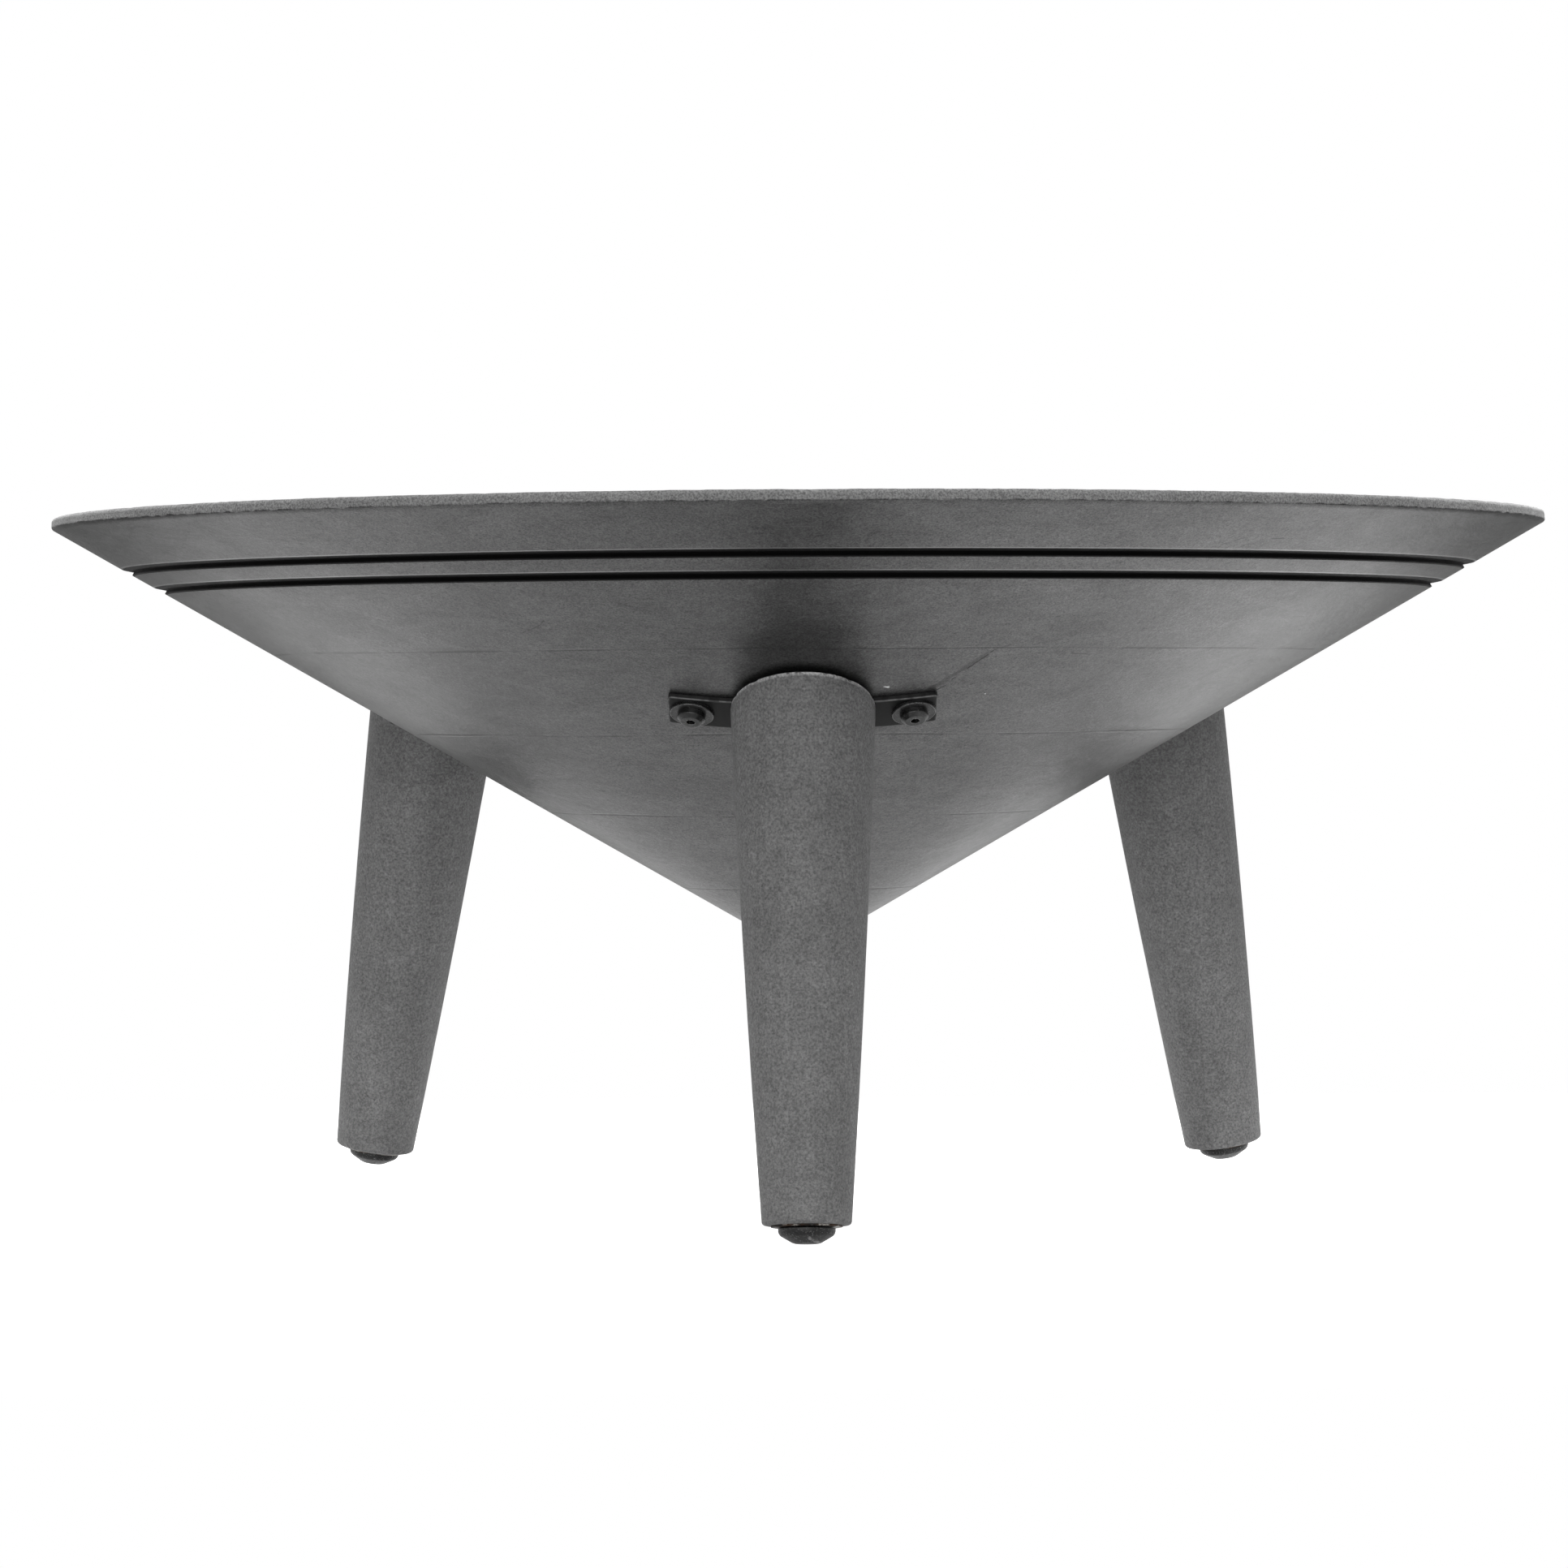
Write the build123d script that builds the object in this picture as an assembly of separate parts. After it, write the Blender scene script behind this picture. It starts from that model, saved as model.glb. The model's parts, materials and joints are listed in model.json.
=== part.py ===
from build123d import *
import os
from math import atan2, cos, hypot, radians, sin, tan

# Coal forge hearth: a wide conical bowl on three splayed, tapered legs.
# Millimetres. The origin is on the floor, under the middle of the bowl. +Z is up.
# The front leg stands towards -Y, and the other two are 120 degrees either side of it.

# ---- bowl ----
RIM_RADIUS = 457.2            # a 36 inch bowl
CONE_SLOPE = 30.0             # angle of the wall above the horizontal
WALL = 12.0                   # measured square to the wall
RIM_EDGE = 6.0                # height of the upright edge round the rim
RIM_ROUND = 2.4
TIP_ROUND = 9.0               # outer radius at the point of the cone
WELL_ROUND = 34.0             # inner radius at the bottom of the bowl
GROOVE_WIDTH = 7.4            # along the wall
GROOVE_DEPTH = 2.5
GROOVE_LIP_ROUND = 1.2
GROOVE_LOWER_RADII = (408.8, 389.2)   # lower lip of each groove

# ---- legs ----
LEG_TURNS = {"front": 0.0, "rear_right": 120.0, "rear_left": -120.0}
LEG_LEAN = 9.7                # from the vertical, outwards at the floor
LEG_END_REACH = 320.3         # middle of the leg's lower end, from the bowl's axis
LEG_END_RADIUS = 25.0
LEG_BLANK = 330.0             # length before the top is cut to fit the bowl
LEG_BLANK_RADIUS = 42.5       # at the top of the blank
LEG_SWELL = 1.35              # how far the outline bulges past a straight taper, halfway up
LEG_END_ROUND = 2.2
LEG_TOP_ROUND = 2.2
CONE_TIP_HEIGHT = 144.3       # point of the bowl above the floor

# ---- strap between bowl and leg ----
STRAP_LENGTH = 152.0
STRAP_WIDTH = 30.0
STRAP_THICKNESS = 3.0
STRAP_SLANT = 302.3           # from the cone's point up the wall to the strap's middle line
STRAP_CORNER_ROUND = 1.5
BOLT_REACH = 62.5             # bolt either side of the strap's middle, along the strap
SCREW_REACH = 20.0            # leg screw either side of the strap's middle

# ---- fasteners ----
BOLT_RADIUS = 4.0             # M8
BOLT_HOLE_RADIUS = 4.5
BOLT_BITE = 7.5               # depth of bolt in the bowl's wall
BOLT_TIP_ROOM = 1.2           # tapped hole below the bolt's end
HEAD_RADIUS = 8.0
HEAD_TOP_RADIUS = 5.6
HEAD_SIDE = 2.6
HEAD_HEIGHT = 4.6
HEAD_ROUND = 0.6
SOCKET_FLATS = 5.0
SOCKET_DEPTH = 2.8
WASHER_RADIUS = 12.5
WASHER_HOLE_RADIUS = 4.2
WASHER_THICKNESS = 2.0
WASHER_CHAMFER = 0.35
SCREW_RADIUS = 3.0            # M6 countersunk
SCREW_HEAD_RADIUS = 5.7
SCREW_LENGTH = 22.0
SCREW_POINT = 1.0             # chamfer at the screw's end
SCREW_TIP_ROOM = 3.0
SCREW_SOCKET_FLATS = 4.0
SCREW_SOCKET_DEPTH = 1.8
SINK_EASE = 0.1               # room round the screw in the strap
SINK_DEPTH = 0.05             # screw head below the strap's inner face
TAPPED_EASE = 0.1             # radial room round a thread in its tapped hole
OVERCUT = 1.0                 # how far a cut runs past the face that it opens
NEAR = 0.01                   # for finding an edge by its size or height

# ---- levelling foot, measured down from the leg's end along the leg ----
THREAD_PITCH = 1.5            # M10
THREAD_RADIUS = 5.0
THREAD_ROOT_RADIUS = 4.1
THREAD_TURNS = 19
THREAD_START = 0.6            # plain end above the first crest
THREAD_FLAT = 0.2             # width of a crest, and of a root
THREAD_FLANK = 0.55
STUD_TOP = -32.0
COLLAR_FLATS = 17.0
COLLAR_TOP = -2.8
COLLAR_BOTTOM = 0.2
NECK_RADIUS = 4.8
STUD_HEAD_RADIUS = 10.0
STUD_HEAD_TOP = 3.6
STUD_HEAD_BOTTOM = 5.6
BUSH_FLANGE_RADIUS = 20.0
BUSH_FLANGE = 1.0
BUSH_CUP_RADIUS = 13.0
BUSH_CUP_DEPTH = 5.5
BUSH_RADIUS = 8.0
BUSH_TOP = -26.0
BUSH_BORE_RADIUS = 5.06
BUSH_MOUTH_RADIUS = 10.5
BUSH_MOUTH_TOP = -3.3
BUSH_END_EASE = 0.2           # room above each step of the bush
SEAT_EASE = 0.05              # radial room round the bush in the leg
STUD_HOLE_RADIUS = 5.6        # in the leg, above the bush
STUD_TOP_ROOM = 4.0
PAD_RADIUS = 16.0
PAD_TOP = 1.5
PAD_BOTTOM = 10.2
PAD_SOLE_RADIUS = 7.2         # where the flat sole would meet the bevel
PAD_BEVEL = 30.0
PAD_SOLE_ROUND = 6.0
PAD_SHOULDER_ROUND = 4.0
PAD_TOP_ROUND = 0.5
PAD_EASE = 0.3                # room round the stud's head and neck inside the pad

slope_run = cos(radians(CONE_SLOPE))
slope_rise = sin(radians(CONE_SLOPE))


def wall_height(radius, offset=0.0):
    """Height of the cone that lies offset outside the bowl's outer wall."""
    return CONE_TIP_HEIGHT + radius * slope_rise / slope_run - offset / slope_run


def spin(outline):
    """Solid of revolution from a closed outline of (radius, height) in the XZ plane."""
    return revolve(Plane.XZ * make_face(outline), Axis.Z)


def lathe(points):
    """Solid of revolution from corners joined by straight lines."""
    return spin(Polyline(*points, close=True))


def cone_plane(along):
    """Plane on the wall at a place along the strap: z points out of the wall, y up it."""
    slant = hypot(STRAP_SLANT, along)
    azimuth = atan2(along, STRAP_SLANT) / slope_run
    radius = slant * slope_run
    origin = (radius * sin(azimuth), -radius * cos(azimuth), wall_height(radius))
    outward = (slope_rise * sin(azimuth), -slope_rise * cos(azimuth), -slope_run)
    return Plane(origin=origin, x_dir=(cos(azimuth), sin(azimuth), 0), z_dir=outward)


def foot_plane():
    """Plane on the front leg's lower end: z points down along the leg."""
    lean = radians(LEG_LEAN)
    sole_corner = PAD_SOLE_RADIUS - PAD_SOLE_ROUND * tan(radians(PAD_BEVEL / 2))
    drop = (PAD_BOTTOM - PAD_SOLE_ROUND) * cos(lean) + PAD_SOLE_ROUND + sole_corner * sin(lean)
    down_leg = (0, -sin(lean), -cos(lean))
    return Plane(origin=(0, -LEG_END_REACH, drop), x_dir=(1, 0, 0), z_dir=down_leg)


def rod(radius, low, high):
    """Cylinder on the local Z axis from low to high."""
    return extrude(Plane.XY.offset(low) * Circle(radius), high - low)


def hexagon(flats, low, high):
    """Hexagonal prism on the local Z axis from low to high."""
    prism = extrude(RegularPolygon(flats / 2, 6, major_radius=False), high - low)
    return Pos(0, 0, low) * prism


def groove_points(lower_radius):
    """Groove outline, from its lower lip up: a wall square to the cone, then a shelf."""
    lower = (lower_radius, wall_height(lower_radius))
    deep = (lower[0] - GROOVE_DEPTH * slope_rise, lower[1] + GROOVE_DEPTH * slope_run)
    upper_radius = lower_radius + GROOVE_WIDTH * slope_run
    return [lower, deep, (upper_radius, wall_height(upper_radius))]


def rounded_tip(radius, tip_height):
    """Lowest point, a point on the round, and its end on the cone, for a rounded cone tip."""
    centre = tip_height + radius / slope_run
    half = radians(CONE_SLOPE / 2)
    return [
        (0.0, centre - radius),
        (radius * sin(half), centre - radius * cos(half)),
        (radius * slope_rise, centre - radius * slope_run),
    ]


def make_bowl():
    """Open cone of even wall, with a level rim, two grooves and a tapped hole for each bolt."""
    outer_tip = rounded_tip(TIP_ROUND, CONE_TIP_HEIGHT)
    inner_tip = rounded_tip(WELL_ROUND, wall_height(0, -WALL))
    rim_low = wall_height(RIM_RADIUS)
    rim_top = rim_low + RIM_EDGE
    inner_rim = (rim_top - wall_height(0, -WALL)) * slope_run / slope_rise
    wall_line = [outer_tip[2]]
    for lower_radius in reversed(GROOVE_LOWER_RADII):
        wall_line += groove_points(lower_radius)
    wall_line += [(RIM_RADIUS, rim_low), (RIM_RADIUS, rim_top), (inner_rim, rim_top)]
    wall_line.append(inner_tip[2])
    outline = Wire([
        *Polyline(*wall_line).edges(),
        ThreePointArc(*reversed(inner_tip)),
        Line(inner_tip[0], outer_tip[0]),
        ThreePointArc(*outer_tip),
    ])
    bowl = spin(outline)
    rings = bowl.edges().filter_by(GeomType.CIRCLE)
    bowl = fillet(rings.filter_by(lambda edge: edge.center().Z > rim_top - NEAR), RIM_ROUND)
    for lower_radius in GROOVE_LOWER_RADII:
        lip_radius = lower_radius + GROOVE_WIDTH * slope_run
        rings = bowl.edges().filter_by(GeomType.CIRCLE)
        lip = rings.filter_by(lambda edge: abs(edge.radius - lip_radius) < NEAR)
        bowl = fillet(lip, GROOVE_LIP_ROUND)
    tapped = rod(BOLT_RADIUS + TAPPED_EASE, -BOLT_BITE - BOLT_TIP_ROOM, OVERCUT)
    for turn in LEG_TURNS.values():
        for side in (-1, 1):
            bowl -= Rot(Z=turn) * cone_plane(side * BOLT_REACH).location * tapped
    return bowl


def make_strap():
    """Flat bar wrapped on the cone, with two bolt holes and two countersunk screw holes."""
    low, high = STRAP_SLANT - STRAP_WIDTH, STRAP_SLANT + 2 * STRAP_WIDTH
    corners = []
    for slant, offset in ((low, 0), (high, 0), (high, STRAP_THICKNESS), (low, STRAP_THICKNESS)):
        radius = slant * slope_run + offset * slope_rise
        corners.append((radius, wall_height(radius, offset)))
    shell = lathe(corners)
    middle = cone_plane(0).location
    flat_bar = RectangleRounded(STRAP_LENGTH, STRAP_WIDTH, STRAP_CORNER_ROUND)
    blank = extrude(flat_bar, STRAP_WIDTH, both=True)
    strap = shell & (middle * blank)
    bolt_hole = rod(BOLT_HOLE_RADIUS, -OVERCUT, STRAP_THICKNESS + OVERCUT)
    sink_radius = SCREW_HEAD_RADIUS + SINK_EASE
    screw_hole_radius = SCREW_RADIUS + SINK_EASE
    far_face = STRAP_THICKNESS + OVERCUT
    sink = lathe([
        (0, -OVERCUT),
        (sink_radius + OVERCUT, -OVERCUT),
        (screw_hole_radius, sink_radius - screw_hole_radius),
        (screw_hole_radius, far_face),
        (0, far_face),
    ])
    for side in (-1, 1):
        strap -= cone_plane(side * BOLT_REACH).location * bolt_hole
        strap -= cone_plane(side * SCREW_REACH).location * sink
    return strap


def make_leg():
    """Round tapered leg, its top cut to the strap's outer face and its end bored for the foot."""
    halfway = ((LEG_END_RADIUS + LEG_BLANK_RADIUS) / 2 + LEG_SWELL, -LEG_BLANK / 2)
    blank_corner = (LEG_BLANK_RADIUS, -LEG_BLANK)
    side = ThreePointArc(blank_corner, halfway, (LEG_END_RADIUS, 0))
    ends = Polyline((LEG_END_RADIUS, 0), (0, 0), (0, -LEG_BLANK), blank_corner)
    blank = spin(Wire([side, *ends.edges()]))
    end_ring = blank.edges().filter_by(GeomType.CIRCLE).sort_by(Axis.Z)[-1]
    blank = fillet(end_ring, LEG_END_ROUND)
    leg = foot_plane().location * blank
    near = LEG_END_REACH / 2
    far = RIM_RADIUS
    leg -= lathe([
        (near, wall_height(near, STRAP_THICKNESS)),
        (far, wall_height(far, STRAP_THICKNESS)),
        (far, 2 * far),
        (near, 2 * far),
    ])
    leg = fillet(leg.edges().sort_by(Axis.Z)[-1], LEG_TOP_ROUND)
    seat = lathe([
        (0, OVERCUT),
        (BUSH_CUP_RADIUS + SEAT_EASE, OVERCUT),
        (BUSH_CUP_RADIUS + SEAT_EASE, -BUSH_CUP_DEPTH),
        (BUSH_RADIUS + SEAT_EASE, -BUSH_CUP_DEPTH),
        (BUSH_RADIUS + SEAT_EASE, BUSH_TOP),
        (STUD_HOLE_RADIUS, BUSH_TOP),
        (STUD_HOLE_RADIUS, STUD_TOP - STUD_TOP_ROOM),
        (0, STUD_TOP - STUD_TOP_ROOM),
    ])
    leg -= foot_plane().location * seat
    hole = rod(SCREW_RADIUS + TAPPED_EASE, 0, SCREW_LENGTH + SCREW_TIP_ROOM)
    for side in (-1, 1):
        leg -= cone_plane(side * SCREW_REACH).location * hole
    return leg


def make_bolts():
    """Low-headed socket bolts, one each side of the leg, threaded into the bowl's wall."""
    head = lathe([
        (0, 0),
        (HEAD_RADIUS, 0),
        (HEAD_RADIUS, HEAD_SIDE),
        (HEAD_TOP_RADIUS, HEAD_HEIGHT),
        (0, HEAD_HEIGHT),
    ])
    rims = head.edges().filter_by(GeomType.CIRCLE)
    head = fillet(rims.filter_by(lambda edge: edge.center().Z > HEAD_SIDE - NEAR), HEAD_ROUND)
    head -= hexagon(SOCKET_FLATS, HEAD_HEIGHT - SOCKET_DEPTH, HEAD_HEIGHT + OVERCUT)
    under_head = STRAP_THICKNESS + WASHER_THICKNESS
    bolt = Pos(0, 0, under_head) * head + rod(BOLT_RADIUS, -BOLT_BITE, under_head)
    return [cone_plane(side * BOLT_REACH).location * bolt for side in (-1, 1)]


def make_washers():
    """Flat washers between the bolt heads and the strap."""
    washer = rod(WASHER_RADIUS, STRAP_THICKNESS, STRAP_THICKNESS + WASHER_THICKNESS)
    washer = chamfer(washer.edges().sort_by(Axis.Z)[-1], WASHER_CHAMFER)
    washer -= rod(WASHER_HOLE_RADIUS, 0, 2 * STRAP_THICKNESS)
    return [cone_plane(side * BOLT_REACH).location * washer for side in (-1, 1)]


def make_leg_screws():
    """Countersunk screws that hold the strap to the top of the leg, heads under the bowl."""
    screw = lathe([
        (0, SINK_DEPTH),
        (SCREW_HEAD_RADIUS - SINK_DEPTH, SINK_DEPTH),
        (SCREW_RADIUS, SCREW_HEAD_RADIUS - SCREW_RADIUS),
        (SCREW_RADIUS, SCREW_LENGTH - SCREW_POINT),
        (SCREW_RADIUS - SCREW_POINT, SCREW_LENGTH),
        (0, SCREW_LENGTH),
    ])
    screw -= hexagon(SCREW_SOCKET_FLATS, -OVERCUT, SCREW_SOCKET_DEPTH)
    return [cone_plane(side * SCREW_REACH).location * screw for side in (-1, 1)]


def make_bush():
    """Threaded steel bush in the leg's end, with a thin flange and a mouth for the hex collar."""
    cup_top = BUSH_END_EASE - BUSH_CUP_DEPTH
    sleeve_top = BUSH_END_EASE + BUSH_TOP
    bush = lathe([
        (BUSH_MOUTH_RADIUS, BUSH_FLANGE),
        (BUSH_FLANGE_RADIUS, BUSH_FLANGE),
        (BUSH_FLANGE_RADIUS, 0),
        (BUSH_CUP_RADIUS, 0),
        (BUSH_CUP_RADIUS, cup_top),
        (BUSH_RADIUS, cup_top),
        (BUSH_RADIUS, sleeve_top),
        (BUSH_BORE_RADIUS, sleeve_top),
        (BUSH_BORE_RADIUS, BUSH_MOUTH_TOP),
        (BUSH_MOUTH_RADIUS, BUSH_MOUTH_TOP),
    ])
    return foot_plane().location * bush


def make_stud():
    """Levelling screw: thread, hex collar, neck, and the round head that sits in the pad."""
    thread = [(0, STUD_TOP), (THREAD_ROOT_RADIUS, STUD_TOP)]
    for turn in range(THREAD_TURNS):
        crest = STUD_TOP + THREAD_START + turn * THREAD_PITCH
        root = crest + THREAD_FLAT + THREAD_FLANK
        thread += [(THREAD_RADIUS, crest), (THREAD_RADIUS, crest + THREAD_FLAT)]
        thread += [(THREAD_ROOT_RADIUS, root), (THREAD_ROOT_RADIUS, root + THREAD_FLAT)]
    thread += [(THREAD_ROOT_RADIUS, COLLAR_TOP), (0, COLLAR_TOP)]
    stud = lathe(thread)
    stud += hexagon(COLLAR_FLATS, COLLAR_TOP, COLLAR_BOTTOM)
    stud += rod(NECK_RADIUS, COLLAR_BOTTOM, STUD_HEAD_TOP)
    stud += rod(STUD_HEAD_RADIUS, STUD_HEAD_TOP, STUD_HEAD_BOTTOM)
    return foot_plane().location * stud


def make_pad():
    """Bun-shaped glide: flat sole, bevel, upright side, and a pocket for the stud's head."""
    bevel_drop = (PAD_RADIUS - PAD_SOLE_RADIUS) * tan(radians(PAD_BEVEL))
    pad = lathe([
        (0, PAD_TOP),
        (PAD_RADIUS, PAD_TOP),
        (PAD_RADIUS, PAD_BOTTOM - bevel_drop),
        (PAD_SOLE_RADIUS, PAD_BOTTOM),
        (0, PAD_BOTTOM),
    ])
    for rank, size in ((-1, PAD_SOLE_ROUND), (1, PAD_SHOULDER_ROUND), (0, PAD_TOP_ROUND)):
        rings = pad.edges().filter_by(GeomType.CIRCLE).sort_by(Axis.Z)
        pad = fillet(rings[rank], size)
    pad -= rod(NECK_RADIUS + PAD_EASE, 0, STUD_HEAD_TOP)
    pocket_top = STUD_HEAD_TOP - PAD_EASE
    pad -= rod(STUD_HEAD_RADIUS + PAD_EASE, pocket_top, STUD_HEAD_BOTTOM + PAD_EASE)
    return foot_plane().location * pad


def write(name, *solids):
    """Write one node, a single solid or a group of separate ones."""
    shape = solids[0] if len(solids) == 1 else Compound(children=list(solids))
    export_step(shape, f"parts/{name}.step")


os.makedirs("parts", exist_ok=True)
write("hearth_bowl", make_bowl())
single = {
    "leg": make_leg(),
    "leg_strap": make_strap(),
    "foot_bush": make_bush(),
    "foot_stud": make_stud(),
    "foot_pad": make_pad(),
}
pairs = {
    "strap_bolts": make_bolts(),
    "strap_washers": make_washers(),
    "leg_screws": make_leg_screws(),
}
for place, turn in LEG_TURNS.items():
    for kind, shape in single.items():
        write(f"{place}_{kind}", Rot(Z=turn) * shape)
    for kind, shapes in pairs.items():
        write(f"{place}_{kind}", *[Rot(Z=turn) * shape for shape in shapes])
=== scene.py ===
import json
from math import atan2, cos, hypot, pi, radians, sin, tan

import bmesh
import bpy
from mathutils import Matrix, Vector, noise

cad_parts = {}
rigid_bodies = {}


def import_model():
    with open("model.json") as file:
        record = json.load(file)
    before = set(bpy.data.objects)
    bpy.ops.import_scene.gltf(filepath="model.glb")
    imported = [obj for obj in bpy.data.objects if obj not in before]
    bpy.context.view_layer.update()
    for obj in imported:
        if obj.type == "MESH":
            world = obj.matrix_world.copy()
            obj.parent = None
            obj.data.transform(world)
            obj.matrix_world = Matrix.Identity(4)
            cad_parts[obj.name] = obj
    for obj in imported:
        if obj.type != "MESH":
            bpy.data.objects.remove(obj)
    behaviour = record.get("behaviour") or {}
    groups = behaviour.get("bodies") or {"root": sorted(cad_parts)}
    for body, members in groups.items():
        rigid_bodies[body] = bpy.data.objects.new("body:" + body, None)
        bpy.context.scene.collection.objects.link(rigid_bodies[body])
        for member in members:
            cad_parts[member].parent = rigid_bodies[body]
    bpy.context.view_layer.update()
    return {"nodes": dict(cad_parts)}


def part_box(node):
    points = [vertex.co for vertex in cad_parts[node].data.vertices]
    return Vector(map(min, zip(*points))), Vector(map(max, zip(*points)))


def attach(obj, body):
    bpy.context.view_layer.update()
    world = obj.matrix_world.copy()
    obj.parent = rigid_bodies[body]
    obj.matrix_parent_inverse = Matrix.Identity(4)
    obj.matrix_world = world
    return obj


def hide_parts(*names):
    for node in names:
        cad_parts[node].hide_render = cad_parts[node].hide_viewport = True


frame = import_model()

# Coal forge hearth: an iron bowl on three legs, with bolted straps and levelling feet.
# Metres, in the CAD model's frame. The bowl's axis is the Z axis.

MM = 0.001

# ---- sizes that the CAD boxes give ----
bowl_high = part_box("hearth_bowl")[1]
RIM_RADIUS = bowl_high.x
RIM_TOP = bowl_high.z

# ---- sizes shared with the CAD model ----
SLOPE = radians(30)
WALL = 12 * MM
RIM_EDGE = 6 * MM
RIM_ROUND = 2.4 * MM
TIP_ROUND = 9 * MM
WELL_ROUND = 34 * MM
GROOVE_WIDTH = 7.4 * MM
GROOVE_DEPTH = 2.5 * MM
GROOVE_LIP_ROUND = 1.2 * MM
GROOVE_SMEAR = 1.4 * MM
GROOVE_LOWER_RADII = (408.8 * MM, 389.2 * MM)
PLACES = {"front": 0, "rear_right": 120, "rear_left": -120}
LEG_LEAN = radians(9.7)
LEG_END_REACH = 320.3 * MM
LEG_END_RADIUS = 25 * MM
LEG_BLANK = 330 * MM
LEG_BLANK_RADIUS = 42.5 * MM
LEG_SWELL = 1.35 * MM
LEG_END_ROUND = 2.2 * MM
LEG_TOP_ROUND = 2.2 * MM
LEG_SEAT_RADIUS = 13.05 * MM
LEG_SEAT_DEPTH = 5.5 * MM
BUSH_HOLE_RADIUS = 8.05 * MM
BUSH_HOLE_DEPTH = 26 * MM
STUD_HOLE_RADIUS = 5.6 * MM
STUD_HOLE_DEPTH = 36 * MM
STRAP_LENGTH = 152 * MM
STRAP_WIDTH = 30 * MM
STRAP_THICKNESS = 3 * MM
STRAP_SLANT = 302.3 * MM
PAD_RADIUS = 16 * MM
PAD_TOP = 1.5 * MM
PAD_BOTTOM = 10.2 * MM
PAD_SOLE_RADIUS = 7.2 * MM
PAD_BEVEL = radians(30)
PAD_SOLE_ROUND = 6 * MM
PAD_SHOULDER_ROUND = 4 * MM
PAD_NECK_RADIUS = 5.1 * MM
PAD_POCKET_RADIUS = 10.3 * MM
PAD_POCKET_TOP = 3.3 * MM
PAD_POCKET_FLOOR = 5.9 * MM
FOOT_TRAVEL = 12 * MM

TIP = RIM_TOP - RIM_EDGE - RIM_RADIUS * tan(SLOPE)   # height of the cone's sharp point
RIM_LOW = RIM_TOP - RIM_EDGE
SOLE_CORNER = PAD_SOLE_RADIUS - PAD_SOLE_ROUND * tan(PAD_BEVEL / 2)
LEG_END_HEIGHT = ((PAD_BOTTOM - PAD_SOLE_ROUND) * cos(LEG_LEAN) + PAD_SOLE_ROUND
                  + SOLE_CORNER * sin(LEG_LEAN))

# ---- sizes of the visible meshes alone ----
RIM_CORNER = 0.5 * MM           # bevel of the rim's lower, outer edge
GROOVE_LOWER_LIP = 0.35 * MM    # rounding of each groove's lower lip
STRAP_CORNER_ROUND = 2.0 * MM
EDGE_SOFT = 0.5 * MM            # rounding of the straps' and pads' edges
LEG_CUT_ABOVE = 200 * MM        # no part of a leg's cut top is lower down the leg than this
LEG_TOP_BLEND = 1.6 * LEG_TOP_ROUND   # how far under the cut the side starts to round over

# ---- unevenness of the visible meshes: (features a metre, depth) ----
RIM_SAND = ((120, 0.55 * MM), (310, 0.3 * MM))
RIM_SAND_FROM = 400 * MM        # radius where the rim's sand takes over from the wall's waves
WALL_WAVES = (7, 0.25 * MM)
LEG_UNEVEN = (60, 0.12 * MM)
LEG_CHIPS = (170, 2.2 * MM)
PAD_WEAR = (420, 0.25 * MM)

# ---- how finely the visible meshes are cut ----
BOWL_SIDES = 720
LEG_SIDES = 160
LEG_RISES = 90
LEG_END_STEPS = 8
LEG_TOP_STEPS = 6
STRAP_EDGE_STEPS = 4
PAD_SIDES = 96
BISECTIONS = 40                 # halvings in the search for a leg's cut top


def wall_height(radius, offset=0.0):
    """Height of the cone that lies offset outside the bowl's outer wall."""
    return TIP + radius * tan(SLOPE) - offset / cos(SLOPE)


# ======== node helpers ========

def add(tree, kind, sockets=None, **settings):
    """Node with its settings, and its sockets linked or given values."""
    node = tree.nodes.new(kind)
    for key, value in settings.items():
        setattr(node, key, value)
    for key, value in (sockets or {}).items():
        if isinstance(value, bpy.types.NodeSocket):
            tree.links.new(value, node.inputs[key])
        else:
            node.inputs[key].default_value = value
    return node


def maths(tree, operation, *values):
    """Result of a maths operation on numbers and sockets."""
    return add(tree, "ShaderNodeMath", dict(enumerate(values)), operation=operation).outputs[0]


def cloud(tree, vector, scale, detail=4.0, roughness=0.55, distortion=0.0):
    """Noise of that many features a metre, about 0.5 in the middle."""
    sockets = {"Vector": vector, "Scale": scale, "Detail": detail, "Roughness": roughness,
               "Distortion": distortion}
    return add(tree, "ShaderNodeTexNoise", sockets).outputs["Fac"]


def spread(tree, value, low, high, out_low=0.0, out_high=1.0, smooth=True):
    """Value from low to high, mapped to out_low to out_high and held beyond."""
    sockets = {"Value": value, "From Min": low, "From Max": high, "To Min": out_low, "To Max": out_high}
    kind = "SMOOTHSTEP" if smooth else "LINEAR"
    return add(tree, "ShaderNodeMapRange", sockets, interpolation_type=kind).outputs["Result"]


def stretched(tree, vector, scale, turn=(0, 0, 0)):
    """Position turned and scaled, for a texture that is longer one way."""
    sockets = {"Vector": vector, "Scale": scale, "Rotation": turn}
    return add(tree, "ShaderNodeMapping", sockets).outputs["Vector"]


def grey(level):
    """Opaque grey."""
    return (level, level, level, 1)


def mixed(tree, factor, first, second):
    """Colour between two others."""
    node = add(tree, "ShaderNodeMix", data_type="RGBA")
    for key, value in (("Factor", factor), ("A", first), ("B", second)):
        socket = [s for s in node.inputs if s.name == key and s.enabled][0]
        if isinstance(value, bpy.types.NodeSocket):
            tree.links.new(value, socket)
        else:
            socket.default_value = value
    return [s for s in node.outputs if s.enabled][0]


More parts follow.
